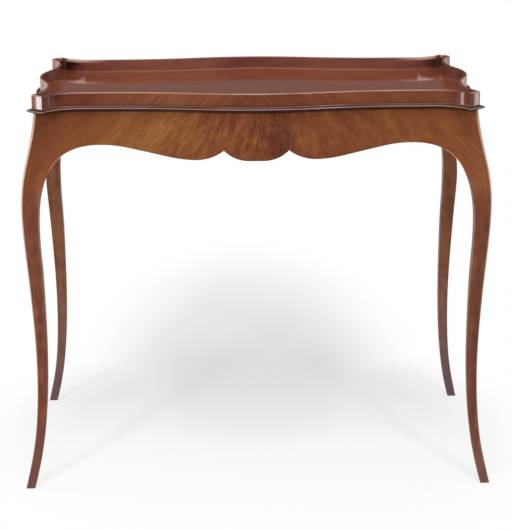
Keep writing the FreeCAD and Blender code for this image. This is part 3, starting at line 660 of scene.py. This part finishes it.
# Inside the corners and along the inner foot the pale colour is a painted highlight.
CORNER_HIGHLIGHT = {"From Min": RIM_Z - 0.007, "From Max": RIM_Z - 0.002, "To Max": 0.6}
INNER_FOOT_HIGHLIGHT = {"From Min": FLOOR_Z + 0.0026, "From Max": FLOOR_Z + 0.0010, "To Max": 0.15}
CORNERS = {"From Min": 0.36, "From Max": 0.43}        # by place along the side, in metres


def pale_wear_and_highlights(tree, at, leaf, inside, outside):
    """Share of pale paint: wear and painted highlight on the rim outside, painted highlights at the foot
    and corners inside.
    """
    patches = streaks(tree, straight_grain(tree, "Z", "Y", "X"), RIM_PATCH_WIDE, RIM_PATCH_LONG)
    rim = add(tree, "ShaderNodeMapRange", {"Value": at.outputs["Z"], **RIM},
              interpolation_type="SMOOTHSTEP")
    rim = add(tree, "ShaderNodeMath", {0: rim.outputs["Result"], 1: patches}, operation="MULTIPLY")
    rim = add(tree, "ShaderNodeMath", {0: rim.outputs[0], 1: outside}, operation="MULTIPLY")
    inner_foot_highlight = add(tree, "ShaderNodeMapRange", {"Value": at.outputs["Z"], **INNER_FOOT_HIGHLIGHT},
              interpolation_type="SMOOTHSTEP")
    end = add(tree, "ShaderNodeMath", {0: leaf}, operation="ABSOLUTE")
    end = add(tree, "ShaderNodeMapRange", {"Value": end.outputs[0], **CORNERS})
    corner_highlight = add(tree, "ShaderNodeMapRange", {"Value": at.outputs["Z"], **CORNER_HIGHLIGHT},
               interpolation_type="SMOOTHSTEP")
    corner_highlight = add(tree, "ShaderNodeMath", {0: corner_highlight.outputs["Result"], 1: end.outputs["Result"]},
               operation="MULTIPLY")
    within = add(tree, "ShaderNodeMath", {0: inner_foot_highlight.outputs["Result"], 1: corner_highlight.outputs[0]},
                 operation="MAXIMUM")
    within = add(tree, "ShaderNodeMath", {0: within.outputs[0], 1: inside}, operation="MULTIPLY")
    pale = add(tree, "ShaderNodeMath", {0: rim.outputs[0], 1: within.outputs[0]}, operation="MAXIMUM")
    return pale.outputs[0]


print("rim at", round(RIM_Z, 4), "m, tray floor at", round(FLOOR_Z, 4), "m")

# %% Polished mahogany of the gallery
FOOT_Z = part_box("moulding_front")[1][2]
# The gallery's foot outside is painted dark: painted shade where it meets the moulding.
FOOT_SHADE = {"From Min": FOOT_Z + 0.0035, "From Max": FOOT_Z + 0.0005, "To Max": 0.3}     # by height
OUTSIDE = {"From Min": 0.02, "From Max": 0.10}        # by how far the wood faces outwards
# The pale colour is wear and a painted highlight on the rim, and a painted highlight inside.
PALE_WEAR_AND_HIGHLIGHT = "#cfa895"


def gallery_mahogany():
    """French-polished mahogany, redder than the frieze, with wear and painted highlights on the rim and
    painted shade at its foot.
    """
    material, tree = new_material("polished_gallery_mahogany")
    place = add(tree, "ShaderNodeTexCoord")
    at = add(tree, "ShaderNodeSeparateXYZ", {"Vector": place.outputs["Object"]})
    outward = faces_outwards(tree, place)
    inside = add(tree, "ShaderNodeMath", {0: outward, 1: 0.0}, operation="LESS_THAN").outputs[0]
    outside = add(tree, "ShaderNodeMapRange", {"Value": outward, **OUTSIDE}).outputs["Result"]
    wood, grain, leaf = gallery_wood(tree, inside)
    foot_shade = add(tree, "ShaderNodeMapRange", {"Value": at.outputs["Z"], **FOOT_SHADE},
               interpolation_type="SMOOTHSTEP")
    foot_shade = add(tree, "ShaderNodeMath", {0: foot_shade.outputs["Result"], 1: outside}, operation="MULTIPLY")
    for share, shade in ((foot_shade.outputs[0], PAINTED_SHADE_DARK),
                         (pale_wear_and_highlights(tree, at, leaf, inside, outside), PALE_WEAR_AND_HIGHLIGHT)):
        layer = add(tree, "ShaderNodeMix", {0: share, 6: wood, 7: colour(shade)}, data_type="RGBA")
        wood = layer.outputs[2]
    french_polish(tree, wood, grain, body=0.6, rough=0.10)
    return material


gallery = gallery_mahogany()
print("gallery material has", len(gallery.node_tree.nodes), "nodes")

# %% [markdown]
# ## Moulding
# A strip of mahogany runs round under the gallery: a hollow, a bead and a quirk below it. The bead and
# the top edge are painted bright as highlights, and the hollows are painted dark as shade. Both go by
# height, because the section is the same all round.

# %% Polished mahogany of the moulding
MOULDING_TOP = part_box("moulding_front")[1][2]
# Both lists hold (share of the moulding's height, share of painted highlight or painted shade).
BEAD_HIGHLIGHT_STOPS = [(0.40, 0.0), (0.47, 0.65), (0.54, 0.65), (0.60, 0.05), (0.88, 0.05), (0.96, 0.55)]
HOLLOW_SHADE_STOPS = [(0.30, 0.85), (0.40, 0.0), (0.60, 0.0), (0.68, 0.35), (0.84, 0.35), (0.92, 0.0)]
# Colours of the painted shade and the painted highlight.
HOLLOW_SHADE = "#160b08"
BEAD_HIGHLIGHT = "#b98f80"


def moulding_mahogany():
    """French-polished mahogany, with painted shade in the hollows and a painted highlight on the bead."""
    material, tree = new_material("polished_moulding_mahogany")
    place = add(tree, "ShaderNodeTexCoord")
    at = add(tree, "ShaderNodeSeparateXYZ", {"Vector": place.outputs["Object"]})
    grain = straight_grain(tree, "Z", "Y", "X")
    mottle = figure(tree, grain, GALLERY_LAYERS, contrast=0.4)
    wood = add(tree, "ShaderNodeValToRGB", {"Fac": mottle}, stops=[
        (0.2, colour("#34180f")), (0.8, colour("#5a2d1f"))]).outputs["Color"]
    high = add(tree, "ShaderNodeMapRange", {"Value": at.outputs["Z"], "From Min": BEAD_Z,
                                            "From Max": MOULDING_TOP})
    for places, shade in ((HOLLOW_SHADE_STOPS, HOLLOW_SHADE), (BEAD_HIGHLIGHT_STOPS, BEAD_HIGHLIGHT)):
        share = add(tree, "ShaderNodeValToRGB", {"Fac": high.outputs["Result"]}, stops=[
            (place_up, [amount, amount, amount, 1.0]) for place_up, amount in places])
        layer = add(tree, "ShaderNodeMix", {0: share.outputs["Color"], 6: wood, 7: colour(shade)},
                    data_type="RGBA")
        wood = layer.outputs[2]
    french_polish(tree, wood, grain, body=0.5, rough=0.08)
    return material


moulding = moulding_mahogany()
print("moulding", round((MOULDING_TOP - BEAD_Z) * 1000, 1), "mm high")

# %% [markdown]
# ## Tray floor
# One sheet of veneer with its grain along the tray. It is polished like a mirror, so that the rear
# gallery shows in it upside down, and the wood looks deep red below.

# %% Polished mahogany of the tray floor
TRAY_LAYERS = [(40, 500, 1.0), (12, 160, 0.7), (4, 50, 0.4)]


def tray_mahogany():
    """French-polished mahogany veneer with a full, clear polish."""
    material, tree = new_material("polished_tray_mahogany")
    grain = straight_grain(tree, "Y", "Z", "X")
    mottle = figure(tree, grain, TRAY_LAYERS, contrast=0.5)
    wood = add(tree, "ShaderNodeValToRGB", {"Fac": mottle}, stops=[
        (0.2, colour("#793725")), (0.5, colour("#8e472f")), (0.8, colour("#a0573d"))])
    french_polish(tree, wood.outputs["Color"], grain, body=1.0, rough=0.06)
    return material


tray = tray_mahogany()
print("tray material has", len(tray.node_tree.nodes), "nodes")

# %% [markdown]
# ## Hidden wood
# The rails behind the veneer and the board under the tray are of a plainer timber, planed by hand
# and brushed with brown stain. The bearer and the glue blocks are bare softwood, darkened with age.
# Neither is polished, so they look dry. The plane leaves long shallow troughs that catch the light.

# %% Planed timber
TIMBER_LAYERS = [(45, 400, 1.0), (12, 160, 0.7), (5, 60, 0.6)]
PLANE_WIDE = 45.0      # mm, the width of a plane iron
PLANE_LONG = 700.0
PLANE_DEEP = 0.001     # metres


def planed_timber(name, grain_axes, dark, middle, pale):
    """Dry planed wood. The axes say which way is across, into and along the grain."""
    material, tree = new_material(name)
    grain = straight_grain(tree, *grain_axes)
    mottle = figure(tree, grain, TIMBER_LAYERS, contrast=0.5)
    wood = add(tree, "ShaderNodeValToRGB", {"Fac": mottle}, stops=[
        (0.2, colour(dark)), (0.5, colour(middle)), (0.8, colour(pale))])
    troughs = streaks(tree, grain, PLANE_WIDE, PLANE_LONG, detail=0.0)
    rise = add(tree, "ShaderNodeBump", {"Height": troughs, "Strength": 0.4, "Distance": PLANE_DEEP})
    surface = add(tree, "ShaderNodeBsdfPrincipled", {
        "Base Color": wood.outputs["Color"], "Roughness": 0.68, "IOR": 1.5, "Specular IOR Level": 0.3,
        "Normal": rise.outputs[0]})
    add(tree, "ShaderNodeOutputMaterial", {"Surface": surface.outputs[0]})
    return material


print("plane marks", PLANE_WIDE, "mm wide")

# %% The five hidden timbers
STAINED = ("#4a2f1d", "#5f4029", "#755335")
AGED = ("#7d5c3b", "#94714b", "#a98860")
long_rail = planed_timber("stained_long_rail", "ZYX", *STAINED)
short_rail = planed_timber("stained_short_rail", "ZXY", *STAINED)
board = planed_timber("stained_board", "YZX", *STAINED)
bearer = planed_timber("aged_bearer", "XZY", *AGED)
blocks = planed_timber("aged_blocks", "ZYX", *AGED)
print("planed timbers: stained", STAINED[1], "and aged", AGED[1])

# %% [markdown]
# ## Dressing the pieces
# Each piece of the model has one slot for its finish. Most kinds of piece share a finish, so the
# list goes by the first word of the name where it can.

# %% Put each finish on its pieces
FINISHES = {"leg": frieze, "veneer": frieze, "gallery": gallery, "moulding": moulding,
            "tray_veneer": tray, "tray_board": board,
            "apron_front": long_rail, "apron_rear": long_rail,
            "apron_left": short_rail, "apron_right": short_rail,
            "centre_bearer": bearer, "glue_blocks": blocks}
for name, piece in pieces.items():
    kind = name if name in FINISHES else name.split("_")[0]
    piece.material_slots[0].material = FINISHES[kind]
print("dressed", len(pieces), "pieces")
